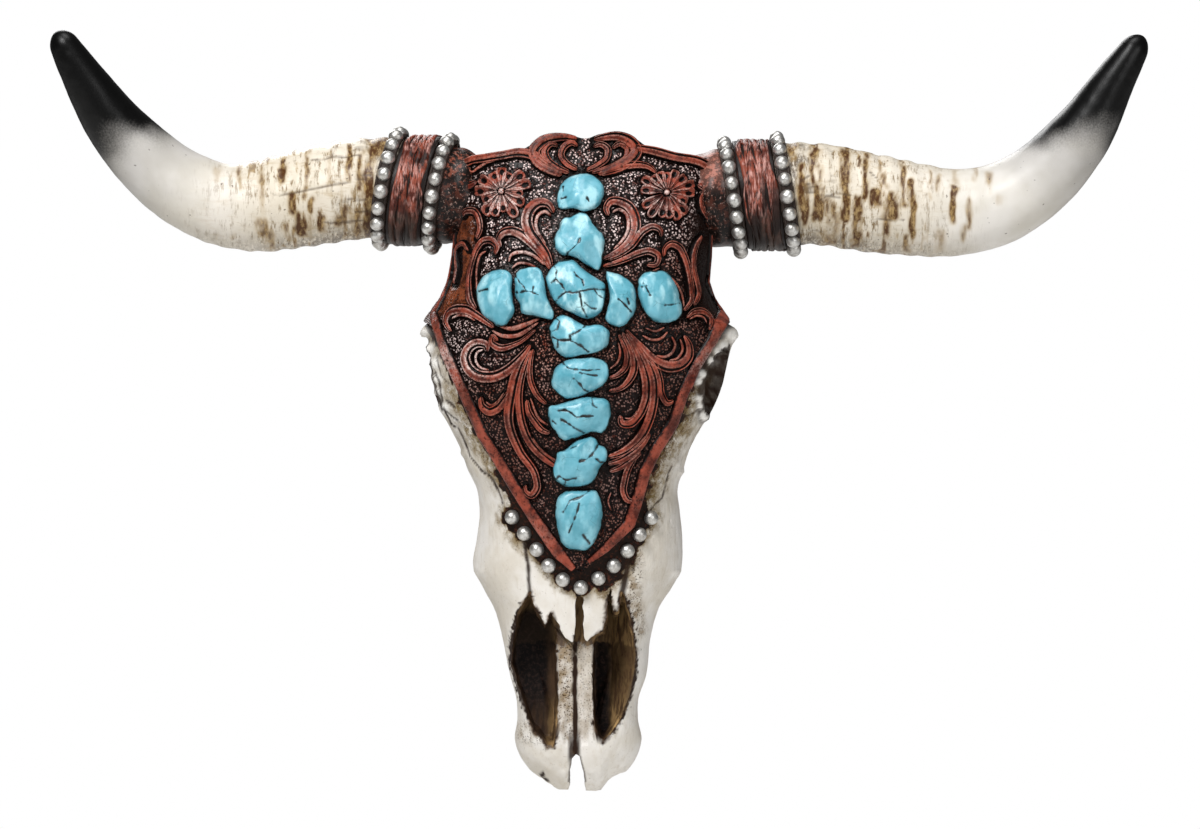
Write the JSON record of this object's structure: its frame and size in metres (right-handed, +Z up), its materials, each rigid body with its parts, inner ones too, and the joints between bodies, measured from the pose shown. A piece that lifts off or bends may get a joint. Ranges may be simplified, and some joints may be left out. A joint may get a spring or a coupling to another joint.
{
  "type": "steer skull wall ornament",
  "caption": "Wall ornament shaped as a longhorn steer skull, with a tooled leather cover, a cross of turquoise stones, beaded bands round the horn roots and a keyhole hanger behind.",
  "frame": {"origin": "a point of the flat back that rests on the wall, on the centre line of the face, level with the brow corners", "axes": "+Y into the wall, so the face looks along -Y; +Z up along the face; +X to the viewer's right, along the span of the horns"},
  "size_m": [0.5097, 0.0912, 0.3521],
  "materials": {
    "bone": "cast resin painted as aged ivory bone with a dark brown wash",
    "horn": "cast resin painted as ivory horn with airbrushed black tips, satin",
    "leather": "cast resin painted as tooled red-brown leather with a blackened ground, satin",
    "lashing": "cast resin painted as wound leather strands, satin",
    "silver": "cast resin painted antique silver",
    "turquoise": "cast resin painted as veined turquoise, semi-gloss",
    "zinc": "zinc-plated pressed steel"
  },
  "bodies": {
    "root": {"bead_01": "silver", "bead_02": "silver", "bead_03": "silver", "bead_04": "silver", "bead_05": "silver", "bead_06": "silver", "bead_07": "silver", "bead_08": "silver", "bead_09": "silver", "bead_10": "silver", "bead_11": "silver", "cover": "leather", "hanger_plate": "zinc", "horn_left": "horn", "horn_right": "horn", "rim_left_inner": "silver", "rim_left_outer": "silver", "rim_right_inner": "silver", "rim_right_outer": "silver", "skull": "bone", "stone_01": "turquoise", "stone_02": "turquoise", "stone_03": "turquoise", "stone_04": "turquoise", "stone_05": "turquoise", "stone_06": "turquoise", "stone_07": "turquoise", "stone_08": "turquoise", "stone_09": "turquoise", "stone_10": "turquoise", "stone_11": "turquoise", "stone_12": "turquoise", "wrap_left": "lashing", "wrap_right": "lashing"}
  },
  "joints": []
}
